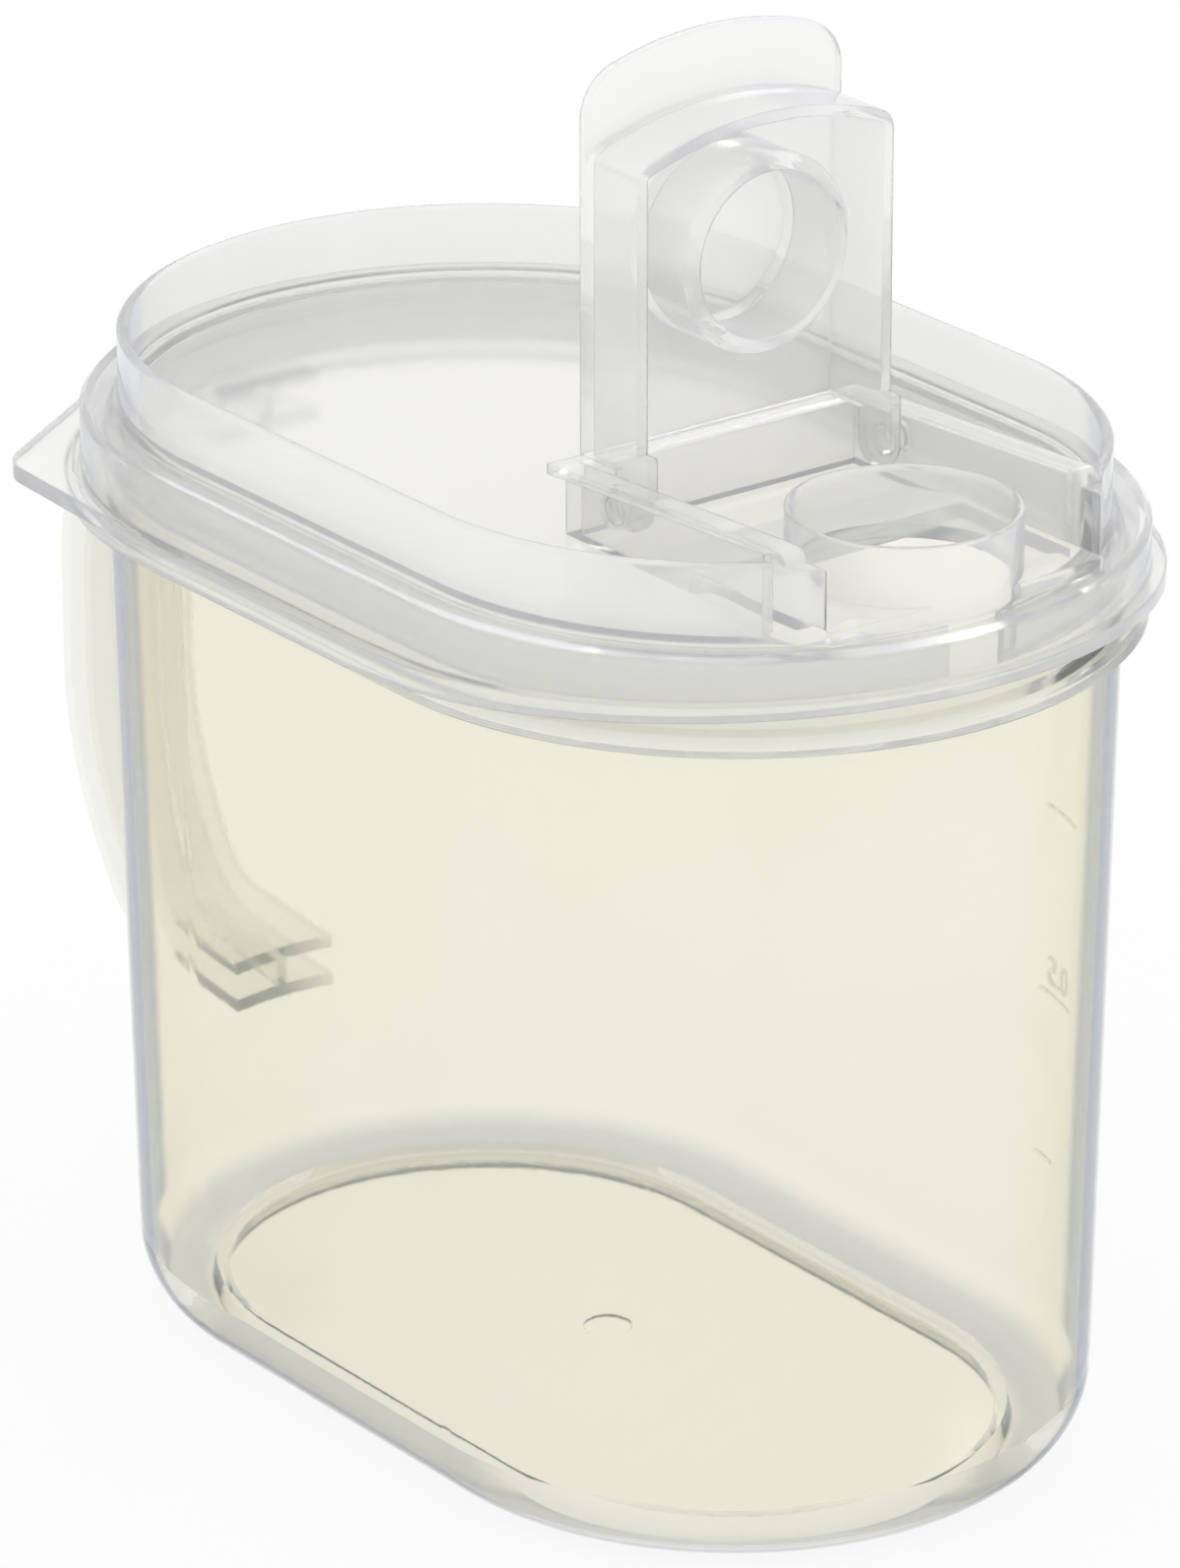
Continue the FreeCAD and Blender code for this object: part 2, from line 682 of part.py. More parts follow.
def make_horns(body, root):
    """Carry the collar on past its round end to the front ends of the ribs."""
    middle = "(collar_radius - collar_wall / 2)"
    sketch = new_sketch(body, "horn_outline", "XY_Plane", root)
    outline(sketch, [("half_straight + %s * cos(horn_angle)" % middle,
                      "-%s * sin(horn_angle)" % middle),
                     ("half_straight + horn_reach", "-rib_inner"),
                     ("half_straight + sqrt(%s ^ 2 - rib_inner ^ 2)" % middle, "-rib_inner")])
    horn = pad(body, "horn", sketch, "deck_top + collar_height - (%s)" % root)
    mirror(body, "other_horn", [horn], "XZ_Plane")


def make_floor(body, root):
    """Lay the well's raised floor, with a slope up to it from the deck."""
    front = "half_straight + floor_front"
    sketch = new_sketch(body, "floor_outline", "XY_Plane", root)
    outline(sketch, [("half_straight + floor_back", "-rib_inner"),
                     (front, "-rib_inner"),
                     (front + " + floor_bulge", "0", "floor_round"),
                     (front, "rib_inner"),
                     ("half_straight + floor_back", "rib_inner")])
    pad(body, "floor", sketch, "floor_top - (%s)" % root)
    slope = new_sketch(body, "slope_line", "XZ_Plane")
    outline(slope, [("half_straight + floor_back", "deck_top"),
                    ("pour_x - pour_radius", "floor_top"),
                    ("half_straight + floor_back", "floor_top")])
    pocket(body, "slope", slope, "2 * rib_inner", "Symmetric")


def ring_edges(feature, radius, axis, place):
    """List the round edges of one radius whose centre is at one place along an axis."""
    found = []
    for i, edge in enumerate(feature.Shape.Edges):
        if edge.Curve.TypeId != "Part::GeomCircle":
            continue
        same = abs(edge.Curve.Radius - number(radius)) < 0.001
        if same and abs(getattr(edge.Curve.Center, axis) - number(place)) < 0.001:
            found.append("Edge%d" % (i + 1))
    return found


def make_cap():
    """Build the flip cap as it stands open, with the side that closes facing the spout."""
    body = new_body("flip_cap")
    flat = new_sketch(body, "plate_outline", "YZ_Plane", "plate_back")
    arch(flat, "cap_half_width", "plate_foot", "thumb_top - thumb_crown", "thumb_crown",
         "thumb_corner")
    pad(body, "plate", flat, "cap_plate")
    shell = new_sketch(body, "cap_skirt_outline", "YZ_Plane", "plate_front")
    arch(shell, "cap_half_width", "plate_foot", "cap_centre", "skirt_radius", "cap_corner")
    pad(body, "cap_skirt", shell, "skirt_edge - plate_front")
    inside = new_sketch(body, "cap_inside_outline", "YZ_Plane", "skirt_edge")
    arch(inside, "cap_half_width - cap_wall", "plate_foot - 1", "cap_centre",
         "skirt_radius - cap_wall", "cap_inner_corner")
    pocket(body, "cap_inside", inside, "skirt_edge - plate_front")
    ring = new_sketch(body, "stopper_outline", "YZ_Plane", "plate_front")
    circle(ring, "0", "stopper_z", "stopper_radius")
    circle(ring, "0", "stopper_z", "stopper_radius - stopper_wall")
    pad(body, "stopper", ring, "stopper_reach")
    tip = ring_edges(body.Tip, "stopper_radius", "x", "plate_front + stopper_reach")
    bevel(body, "stopper_edge", tip, "stopper_bevel")
    leg = pad(body, "leg", leg_sketch(body), "cap_wall")
    round_pin = new_sketch(body, "pin_outline", "XZ_Plane", "cap_half_width")
    circle(round_pin, "hinge_x", "hinge_z", "pin_radius")
    pin = pad(body, "pin", round_pin, "cap_side_gap + pin_reach")
    mirror(body, "other_leg", [leg, pin], "XZ_Plane")
    return body


def leg_sketch(body):
    """Draw a leg: straight sides that end in a half circle round the hinge."""
    sketch = new_sketch(body, "leg_outline", "XZ_Plane", "cap_half_width - cap_wall")
    centre = Vector(number("hinge_x"), number("hinge_z"), 0)
    reach = number("leg_radius")
    top = number("plate_foot + 2 * cap_wall")
    bend = Part.Circle(centre, Vector(0, 0, 1), reach)
    toe = sketch.addGeometry(Part.ArcOfCircle(bend, math.pi, 2 * math.pi), False)
    front = line(sketch, (centre.x + reach, centre.y), (centre.x + reach, top))
    end = line(sketch, (centre.x + reach, top), (centre.x - reach, top))
    back = line(sketch, (centre.x - reach, top), (centre.x - reach, centre.y))
    sketch.addConstraint(Sketcher.Constraint("Tangent", toe, 2, front, 1))
    sketch.addConstraint(Sketcher.Constraint("Coincident", front, 2, end, 1))
    sketch.addConstraint(Sketcher.Constraint("Coincident", end, 2, back, 1))
    sketch.addConstraint(Sketcher.Constraint("Tangent", back, 2, toe, 1))
    sketch.addConstraint(Sketcher.Constraint("Vertical", front))
    sketch.addConstraint(Sketcher.Constraint("Vertical", back))
    sketch.addConstraint(Sketcher.Constraint("Horizontal", end))
    fix_point(sketch, toe, 3, "hinge_x", "hinge_z")
    fix(sketch, "Radius", (toe,), "leg_radius")
    fix(sketch, "DistanceY", (end, 1), "plate_foot + 2 * cap_wall")
    return sketch


def check_model(parts):
    """Stop unless every feature worked and every sub-part is one sound solid."""
    for item in doc.Objects:
        if "Invalid" in item.State or "Error" in item.State:
            raise RuntimeError(item.Name + " failed")
    for item in parts:
        shape = item.Shape
        if shape.isNull() or not shape.isValid() or len(shape.Solids) != 1:
            raise RuntimeError(item.Label + " is not one valid solid")
        box = shape.BoundBox
        print("%s: %.1f x %.1f x %.1f mm, %.1f cm3"
              % (item.Label, box.XLength, box.YLength, box.ZLength, shape.Volume / 1000))


doc.recompute()
pieces = [make_container(), make_handle(), make_lid(), make_cap()]
doc.recompute()
check_model(pieces)
os.makedirs("parts", exist_ok=True)
for piece in pieces:
    piece.Shape.exportStep(os.path.join("parts", piece.Label + ".step"))
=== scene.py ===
import logging
import math
from dataclasses import dataclass
from enum import Enum
from typing import Optional, Union

import bmesh
import bpy
from mathutils import Matrix, Vector


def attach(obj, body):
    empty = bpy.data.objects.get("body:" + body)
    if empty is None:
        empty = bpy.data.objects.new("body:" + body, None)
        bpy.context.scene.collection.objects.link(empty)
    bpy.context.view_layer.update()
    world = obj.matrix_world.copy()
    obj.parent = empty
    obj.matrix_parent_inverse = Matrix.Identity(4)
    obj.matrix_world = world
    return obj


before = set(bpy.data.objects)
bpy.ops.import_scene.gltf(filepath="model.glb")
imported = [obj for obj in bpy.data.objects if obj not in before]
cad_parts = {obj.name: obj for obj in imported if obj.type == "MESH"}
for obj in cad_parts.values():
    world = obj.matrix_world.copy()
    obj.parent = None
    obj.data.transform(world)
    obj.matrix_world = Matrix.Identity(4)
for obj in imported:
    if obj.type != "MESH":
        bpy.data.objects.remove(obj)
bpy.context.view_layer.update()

logging.basicConfig(level=logging.INFO, format="%(name)s: %(message)s")
LOG = logging.getLogger("pitcher")

MM = 0.001
PHOTO_SIZE = (1200, 1594)
SENSOR_MM = 36.0

Value = Union[float, "Socket"]
Pair = tuple[float, float]
Triple = tuple[float, float, float]


class Body(Enum):
    """The moving body that the added marks ride on."""

    JUG = "jug"


class Slot(Enum):
    """A material slot of the record."""

    CREAM = "cream_plastic"


class CadNode(Enum):
    """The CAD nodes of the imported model."""

    CONTAINER = "container"
    HANDLE = "handle"
    LID = "lid"
    FLIP_CAP = "flip_cap"


class Socket:
    """A shader value that Python operators can work on.

    Args:
        tree: The node tree that the value lives in.
        source: The output socket that gives the value.
    """

    def __init__(self, tree: "Tree", source: bpy.types.NodeSocket) -> None:
        """Keep the tree and the output."""
        self.tree = tree
        self.source = source

    def _math(self, operation: str, first: Value, second: Value) -> "Socket":
        """Add one Math node.

        Args:
            operation: The Math node's operation.
            first: Its first value.
            second: Its second value.

        Returns:
            The node's result.
        """
        made = self.tree.node("ShaderNodeMath", {"operation": operation}, {0: first, 1: second})
        return self.tree.value(made)

    def __add__(self, other: Value) -> "Socket":
        """Add a value."""
        return self._math("ADD", self, other)

    __radd__ = __add__

    def __sub__(self, other: Value) -> "Socket":
        """Take a value away."""
        return self._math("SUBTRACT", self, other)

    def __rsub__(self, other: Value) -> "Socket":
        """Take this from a value."""
        return self._math("SUBTRACT", other, self)

    def __mul__(self, other: Value) -> "Socket":
        """Multiply by a value."""
        return self._math("MULTIPLY", self, other)

    __rmul__ = __mul__

    def __pow__(self, other: Value) -> "Socket":
        """Raise to a power."""
        return self._math("POWER", self, other)

    def size(self) -> "Socket":
        """Drop the sign."""
        return self._math("ABSOLUTE", self, 0.0)

    def high(self, other: Value) -> "Socket":
        """Take the larger of two values."""
        return self._math("MAXIMUM", self, other)

    def low(self, other: Value) -> "Socket":
        """Take the smaller of two values."""
        return self._math("MINIMUM", self, other)

    def between(self, start: float, end: float) -> "Socket":
        """Rise smoothly from 0 at one value to 1 at another.

        Args:
            start: Where the rise starts.
            end: Where it ends.

        Returns:
            The share of the rise that the value has made.
        """
        made = self.tree.node("ShaderNodeMapRange", {"interpolation_type": "SMOOTHSTEP"},
                              {"Value": self, "From Min": start, "From Max": end})
        return self.tree.value(made)


class Tree:
    """A node tree with one method that makes any node.

    Args:
        tree: Blender's own node tree.
    """

    def __init__(self, tree: bpy.types.NodeTree) -> None:
        """Keep the tree and empty it."""
        self.tree = tree
        tree.nodes.clear()

    def node(self, kind: str, settings: Optional[dict] = None,
             inputs: Optional[dict] = None) -> bpy.types.Node:
        """Make a node, set it and feed its sockets.

        Args:
            kind: The node's type.
            settings: The node's own settings.
            inputs: A value, colour or Socket for each socket that is set.

        Returns:
            The new node.
        """
        made = self.tree.nodes.new(kind)
        for name, value in (settings or {}).items():
            setattr(made, name, value)
        for name, value in (inputs or {}).items():
            if isinstance(value, Socket):
                self.tree.links.new(value.source, made.inputs[name])
            else:
                made.inputs[name].default_value = value
        return made

    def value(self, made: bpy.types.Node, output: Union[int, str] = 0) -> Socket:
        """Wrap one output of a node."""
        return Socket(self, made.outputs[output])

    def part(self, vector: Socket, axis: str) -> Socket:
        """Take one axis of a vector."""
        return self.value(self.node("ShaderNodeSeparateXYZ", {}, {"Vector": vector}), axis)

    def mix(self, share: Socket, first: Union[Triple, Socket],
            second: Union[Triple, Socket]) -> Socket:
        """Blend two colours.

        Args:
            share: 0 for the first colour and 1 for the second.
            first: The first colour.
            second: The second colour.

        Returns:
            The blended colour.
        """
        colours = [part if isinstance(part, Socket) else (*part, 1.0) for part in (first, second)]
        made = self.node("ShaderNodeMix", {"data_type": "RGBA"},
                         {"Factor": share, 6: colours[0], 7: colours[1]})
        return self.value(made, 2)

    def blend(self, share: Socket, first: Socket, second: Socket) -> Socket:
        """Blend two shaders.

        Args:
            share: 0 for the first shader and 1 for the second.
            first: The first shader.
            second: The second shader.

        Returns:
            The blended shader.
        """
        return self.value(self.node("ShaderNodeMixShader", {}, {0: share, 1: first, 2: second}))


@dataclass(frozen=True)
class JugForm:
    """The jug's sizes that its marks and its thick zones follow.

    Attributes:
        half_straight: Half the length of the oval's straight sides.
        base_radius: Outer radius of its round ends at the foot.
        mouth_radius: The same at the flange ring.
        rim_height: Height of the flange ring's underside.
    """

    half_straight: float = 26.0 * MM
    base_radius: float = 45.05 * MM
    mouth_radius: float = 47.4 * MM
    rim_height: float = 110.4 * MM

    def radius(self, height: float) -> float:
        """Give the tapered wall's outer radius at a height."""
        share = height / self.rim_height
        return self.base_radius + share * (self.mouth_radius - self.base_radius)


JUG = JugForm()


@dataclass(frozen=True)
class ThickZones:
    """Where the jug's plastic is thick: its rounded foot, and its flange ring and neck. The foot also
    takes a painted shade.

    Attributes:
        foot_height: The heights between which the foot fades out.
        foot_reach: The distances from the oval's middle line between which it fades in.
        foot_shade_tint: Colour of the painted shade on the foot.
        foot_shade_share: How much of that painted shade it takes.
        flange_fade: Height over which the flange's zone fades in, up to the ring's underside.
        haze: Share of the light that a thick zone scatters beyond what the walls do.
    """

    foot_height: Pair = (2.0 * MM, 6.0 * MM)
    foot_reach: Pair = (34.5 * MM, 38.0 * MM)
    foot_shade_tint: Triple = (0.77, 0.78, 0.83)
    foot_shade_share: float = 0.6
    flange_fade: float = 0.8 * MM
    haze: float = 0.16

    def foot(self, tree: Tree, place: Socket) -> Socket:
        """Find the foot: low down, and outside the base panel.

        Args:
            tree: The material's tree.
            place: The point on the piece.

        Returns:
            1 in the foot and 0 elsewhere.
        """
        along = (tree.part(place, "X").size() - JUG.half_straight).high(0.0)
        reach = (along ** 2.0 + tree.part(place, "Y").size() ** 2.0) ** 0.5
        above = tree.part(place, "Z").between(*self.foot_height)
        return (1.0 - above) * reach.between(*self.foot_reach)

    def flange(self, tree: Tree, place: Socket) -> Socket:
        """Find the flange ring and the neck above it.

        Args:
            tree: The material's tree.
            place: The point on the piece.

        Returns:
            1 from the flange ring up and 0 below it.
        """
        start = JUG.rim_height - self.flange_fade
        return tree.part(place, "Z").between(start, JUG.rim_height)


@dataclass(frozen=True)
class Noise:
    """A noise that runs through the plastic.

    Attributes:
        scale: Its scale.
        detail: Its detail.
        roughness: How strong its finer detail is.
    """

    scale: float
    detail: float
    roughness: float

    def read(self, tree: Tree, place: Socket) -> Socket:
        """Give the noise, from 0 to 1, at a point on the piece."""
        return tree.value(tree.node("ShaderNodeTexNoise", {"noise_dimensions": "3D"},
                                    {"Vector": place, "Scale": self.scale,
                                     "Detail": self.detail, "Roughness": self.roughness}))


FLOW_CLOUDS = Noise(scale=14.0, detail=3.0, roughness=0.55)
MOULD_GRAIN = Noise(scale=900.0, detail=2.0, roughness=0.6)


@dataclass(frozen=True)
class Plastic:
    """A translucent moulded polypropylene: a clear share mixed with a milky one.

    The facing of a surface is 0 where it is seen square on and 1 where it is seen edge on.

    Attributes:
        name: The material's name.
        tint: Colour of the light that passes straight through a wall.
        cloud_tint: The same where the melt flowed more slowly.
        slant_tint: The same through a wall that is seen at a slant.
        edge_shade_tint: Colour of the painted shade in a dark band near a wall's outline, where the
            eye looks along the inside of a wall.
        milk_tint: Colour of the light that the milky share scatters.
        haze: Size of the milky share.
        roughness: Roughness of the moulded skin.
        inner_tint: Colour left after light has crossed the plastic.
        density: How fast that colour is reached, per metre.
        gloss: Strength of the glossy skin.
        slant: The facings between which the slant tint fades in.
        edge: The facings between which the painted edge shade fades in.
        rim: The facings between which it fades out again.
        corner: Radius of the rounded shading at sharp corners, or 0 for none.
        zones: The thick zones, for the jug alone.
        ior: Index of refraction of the clear share, kept low so that thin walls stay bright.
        gloss_roughness: Roughness of the glossy skin.
        milk_ior: Index of refraction of the milky share.
        milk_roughness: Roughness of the milky share.
        grain_height: Height of the moulded grain.
        grain_strength: Strength of the moulded grain in the bump.
        melt: The cloud values between which the melt's two tints change over.
        rough_spread: The skin's least roughness, and what clouds and grain add, as shares.
        haze_spread: The least haze, and what the clouds add, as shares.
        facing_blend: Blend of the Layer Weight node that gives the facing.
        corner_samples: Samples of the rounded shading.
    """

    name: str
    tint: Triple
    cloud_tint: Triple
    slant_tint: Triple
    edge_shade_tint: Triple
    milk_tint: Triple
    haze: float
    roughness: float
    inner_tint: Triple
    density: float
    gloss: float
    slant: Pair = (0.3, 0.75)
    edge: Pair = (0.70, 0.78)
    rim: Pair = (0.88, 0.93)
    corner: float = 0.0
    zones: Optional[ThickZones] = None
    ior: float = 1.12
    gloss_roughness: float = 0.05
    milk_ior: float = 1.49
    milk_roughness: float = 0.22
    grain_height: float = 0.02 * MM
    grain_strength: float = 0.35
    melt: Pair = (0.3, 0.7)
    rough_spread: Triple = (0.7, 0.4, 0.2)
    haze_spread: Pair = (0.9, 0.2)
    facing_blend: float = 0.5
    corner_samples: int = 4

    def _colour(self, tree: Tree, clouds: Socket, place: Socket) -> Socket:
        """Tint the clear share: flow clouds square on, deeper where it is seen at a slant, and
        painted shade near wall outlines and on the jug's foot.

        Args:
            tree: The material's tree.
            clouds: The flow clouds, from 0 to 1.
            place: The point on the piece.

        Returns:
            The colour of the light that passes, with the painted shade in it.
        """
        weight = tree.node("ShaderNodeLayerWeight", {}, {"Blend": self.facing_blend})
        facing = tree.value(weight, "Facing")
        melt = tree.mix(clouds.between(*self.melt), self.cloud_tint, self.tint)
        leaning = tree.mix(facing.between(*self.slant), melt, self.slant_tint)
        # Painted shade: a dark band near a wall's outline, where the plastic is seen nearly edge on.
        inside = facing.between(*self.edge) * (1.0 - facing.between(*self.rim))
        if self.zones is None:
            return tree.mix(inside, leaning, self.edge_shade_tint)
        # The painted edge shade is kept off the jug's flange ring and neck.
        thin = inside * (1.0 - self.zones.flange(tree, place))
        walls = tree.mix(thin, leaning, self.edge_shade_tint)
        # Painted shade: the foot is darkened low down, next to the floor.
        foot = self.zones.foot(tree, place) * self.zones.foot_shade_share
        return tree.mix(foot, walls, self.zones.foot_shade_tint)

    def _milkiness(self, tree: Tree, clouds: Socket, place: Socket) -> Socket:
        """Set the size of the milky share.

        Args:
            tree: The material's tree.
            clouds: The flow clouds, from 0 to 1.
            place: The point on the piece.

        Returns:
            0 for clear plastic and 1 for milky plastic.
        """
        least, cloudy = self.haze_spread
        share = self.haze * (least + cloudy * clouds)
        if self.zones is None:
            return share
        thick = self.zones.foot(tree, place).high(self.zones.flange(tree, place))
        return share + self.zones.haze * thick

    def _skin(self, tree: Tree, grain: Socket) -> Socket:
        """Shape the skin: a fine grain, on corners that are shaded round where they are sharp.

        Args:
            tree: The material's tree.
            grain: The moulded grain, from 0 to 1.

        Returns:
            The normal of the skin.
        """
        relief = {"Strength": self.grain_strength, "Distance": self.grain_height, "Height": grain}
        if self.corner > 0.0:
            relief["Normal"] = tree.value(tree.node("ShaderNodeBevel",
                                                    {"samples": self.corner_samples},
                                                    {"Radius": self.corner}))
        return tree.value(tree.node("ShaderNodeBump", {}, relief))

    def material(self) -> bpy.types.Material:
        """Build the plastic.

        Returns:
            The finished material.
        """
        made = bpy.data.materials.new(self.name)
        made.use_nodes = True
        tree = Tree(made.node_tree)
        place = tree.value(tree.node("ShaderNodeTexCoord"), "Object")
        clouds = FLOW_CLOUDS.read(tree, place)
        grain = MOULD_GRAIN.read(tree, place)
        smooth, cloudy, grainy = self.rough_spread
        skin = self._skin(tree, grain)
        clear = tree.node("ShaderNodeBsdfPrincipled", {},
                          {"Base Color": self._colour(tree, clouds, place),
                           "Roughness": self.roughness * (smooth + cloudy * clouds + grainy * grain),
                           "IOR": self.ior, "Transmission Weight": 1.0, "Coat Weight": self.gloss,
                           "Coat Roughness": self.gloss_roughness, "Normal": skin})
        milky = tree.node("ShaderNodeBsdfPrincipled", {},
                          {"Base Color": (*self.milk_tint, 1.0), "Roughness": self.milk_roughness,
                           "IOR": self.milk_ior, "Normal": skin})
        inside = tree.node("ShaderNodeVolumeAbsorption", {},
                           {"Color": (*self.inner_tint, 1.0), "Density": self.density})
        tree.node("ShaderNodeOutputMaterial", {},
                  {"Surface": tree.blend(self._milkiness(tree, clouds, place),
                                         tree.value(clear), tree.value(milky)),
                   "Volume": tree.value(inside)})
        return made


# Each plastic's edge tint is painted shade in a band near wall outlines.
JUG_PLASTIC = Plastic(name="cream_polypropylene",
                      tint=(1.0, 0.985, 0.91), cloud_tint=(0.99, 0.97, 0.875),
                      slant_tint=(0.95, 0.925, 0.77), edge_shade_tint=(0.18, 0.20, 0.27),
                      milk_tint=(0.84, 0.86, 0.90), haze=0.06, roughness=0.06,
                      inner_tint=(0.62, 0.66, 0.74), density=25.0, gloss=0.25, zones=ThickZones())
HANDLE_PLASTIC = Plastic(name="cream_polypropylene_strap",
                         tint=(1.0, 0.995, 0.95), cloud_tint=(0.99, 0.985, 0.94),
                         slant_tint=(0.975, 0.965, 0.91), edge_shade_tint=(0.70, 0.72, 0.78),
                         milk_tint=(0.97, 0.97, 0.96), haze=0.12, roughness=0.08,
                         inner_tint=(0.70, 0.72, 0.80), density=12.0, gloss=0.25)
LID_PLASTIC = Plastic(name="frosted_polypropylene",
                      tint=(1.0, 0.99, 0.955), cloud_tint=(0.99, 0.98, 0.94),
                      slant_tint=(0.975, 0.965, 0.93), edge_shade_tint=(0.78, 0.80, 0.92),
                      milk_tint=(0.97, 0.975, 1.0), haze=0.25, roughness=0.10,
                      inner_tint=(0.86, 0.88, 1.0), density=5.0, gloss=0.4,
                      slant=(0.35, 0.65), corner=0.6 * MM)


@dataclass(frozen=True)
class FillLine:
    """One filling line.

    Attributes:
        name: Its name.
        height: Its height on the wall.
        start: The angle where it starts, in degrees from the X axis.
        end: The angle where it ends.
    """

    name: str
    height: float
    start: float
    end: float


@dataclass(frozen=True)
class FillNumeral:
    """A plain numeral beside a filling line.

    Attributes:
        name: Its name.
        words: What it says.
        height: The height of its foot on the wall.
        start: The angle where it starts, in degrees from the X axis.
        size: The size of its letters.
    """

    name: str
    words: str
    height: float
    start: float
    size: float


@dataclass
class Graduations:
    """The raised filling lines and the numeral on the outside of the jug's far wall.

    Attributes:
        lines: The lines.
        numeral: The numeral.
        proud: How far a mark stands out of the wall.
        sunk: How far it reaches into the wall.
        line_height: Height of a line.
        steps: Number of steps in which a line is bent round the wall.
        weld: Distance within which doubled points are merged.
        numeral_middle: Share of the numeral's size at which the wall's radius is taken.
    """

    lines: tuple[FillLine, ...] = (FillLine("fill_line_upper", 75.0 * MM, 72.0, 82.5),
                                   FillLine("fill_line_middle", 50.0 * MM, 71.0, 82.5),
                                   FillLine("fill_line_lower", 27.5 * MM, 76.0, 82.5))
    numeral: FillNumeral = FillNumeral("fill_numeral", "0.5", 51.4 * MM, 72.0, 5.4 * MM)
    proud: float = 0.12 * MM
    sunk: float = 0.10 * MM
    line_height: float = 0.45 * MM
    steps: int = 12
    weld: float = 0.001 * MM
    numeral_middle: float = 1.0 / 3.0

    def _finish(self, name: str, shape: bmesh.types.BMesh, finish: bpy.types.Material) -> None:
        """Close a mark's mesh and hang it on the jug.

        Args:
            name: The mark's name.
            shape: Its form, already in place.
            finish: The jug's plastic.
        """
        bmesh.ops.remove_doubles(shape, verts=shape.verts, dist=self.weld)
        bmesh.ops.recalc_face_normals(shape, faces=shape.faces)
        mesh = bpy.data.meshes.new(name)
        shape.to_mesh(mesh)
        shape.free()
        mesh.materials.append(finish)
        made = bpy.data.objects.new(name, mesh)
        bpy.context.scene.collection.objects.link(made)
        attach(made, Body.JUG.value)
        LOG.info("raised %s", name)

    def raise_line(self, line: FillLine, finish: bpy.types.Material) -> None:
        """Raise one filling line round the end of the jug.

        Args:
            line: The line.
            finish: The jug's plastic.
        """
        middle = JUG.radius(line.height) + (self.proud - self.sunk) / 2
        shape = bmesh.new()
        bmesh.ops.create_grid(shape, x_segments=1, y_segments=1, size=0.5)
        bmesh.ops.scale(shape, verts=shape.verts,
                        vec=(self.proud + self.sunk, self.line_height, 1.0))
        bmesh.ops.rotate(shape, verts=shape.verts, matrix=Matrix.Rotation(math.pi / 2, 3, "X"))
        bmesh.ops.translate(shape, verts=shape.verts, vec=(middle, 0.0, line.height))
        bmesh.ops.rotate(shape, verts=shape.verts,
                         matrix=Matrix.Rotation(math.radians(line.start), 3, "Z"))
        bmesh.ops.spin(shape, geom=shape.faces[:], cent=(0.0, 0.0, 0.0), axis=(0.0, 0.0, 1.0),
                       angle=math.radians(line.end - line.start), steps=self.steps,
                       use_merge=False)
        bmesh.ops.translate(shape, verts=shape.verts, vec=(JUG.half_straight, 0.0, 0.0))
        self._finish(line.name, shape, finish)

    def _flat_numeral(self) -> bpy.types.Mesh:
        """Make the numeral as a flat mesh.

        Returns:
            The mesh, with its foot on the X axis and its thickness along Z.
        """
        curve = bpy.data.curves.new(self.numeral.name, "FONT")
        curve.body = self.numeral.words
        curve.size = self.numeral.size
        curve.extrude = (self.proud + self.sunk) / 2
        flat = bpy.data.objects.new(self.numeral.name + "_flat", curve)
        bpy.context.scene.collection.objects.link(flat)
        bpy.context.view_layer.update()
        mesh = bpy.data.meshes.new_from_object(flat)
        bpy.data.objects.remove(flat)
        bpy.data.curves.remove(curve)
        return mesh

    def raise_numeral(self, finish: bpy.types.Material) -> None:
        """Raise the numeral and bend it round the wall.

        Args:
            finish: The jug's plastic.
        """
        foot = self.numeral.height
        radius = JUG.radius(foot + self.numeral.size * self.numeral_middle)
        flat = self._flat_numeral()
        shape = bmesh.new()
        shape.from_mesh(flat)
        bpy.data.meshes.remove(flat)
        for vertex in shape.verts:
            across, up, out = vertex.co
            turn = math.radians(self.numeral.start) + across / radius
            reach = radius + out + (self.proud - self.sunk) / 2
            vertex.co = (JUG.half_straight + reach * math.cos(turn), reach * math.sin(turn),
                         foot + up)
        self._finish(self.numeral.name, shape, finish)

    def build(self, finish: bpy.types.Material) -> None:
        """Raise the lines and the numeral.

        Args:
            finish: The jug's plastic.
        """
        for line in self.lines:
            self.raise_line(line, finish)
        self.raise_numeral(finish)


@dataclass
class Mouldings:
    """The CAD nodes in their plastics, and the marks on the jug."""

    jug: Plastic = JUG_PLASTIC
    handle: Plastic = HANDLE_PLASTIC
    lid: Plastic = LID_PLASTIC

    def dress(self, node: CadNode, finish: bpy.types.Material) -> None:
        """Give a CAD node its plastic.

        Args:
            node: The node.
            finish: The plastic.
        """
        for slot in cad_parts[node.value].material_slots:
            slot.material = finish
        LOG.info("dressed %s", node.value)

    def build(self) -> None:
        """Dress every CAD node and raise the marks."""
        jug = self.jug.material()
        lid = self.lid.material()
        self.dress(CadNode.CONTAINER, jug)
        self.dress(CadNode.HANDLE, self.handle.material())
        self.dress(CadNode.LID, lid)
        self.dress(CadNode.FLIP_CAP, lid)
        Graduations().build(jug)


@dataclass(frozen=True)
class Lamp:
    """A soft square lamp.

    Attributes:
        name: Its name.
        place: Where it hangs, in metres.
        size: Its width, in metres.
        watts: Its power.
    """

    name: str
    place: Triple
    size: float
    watts: float


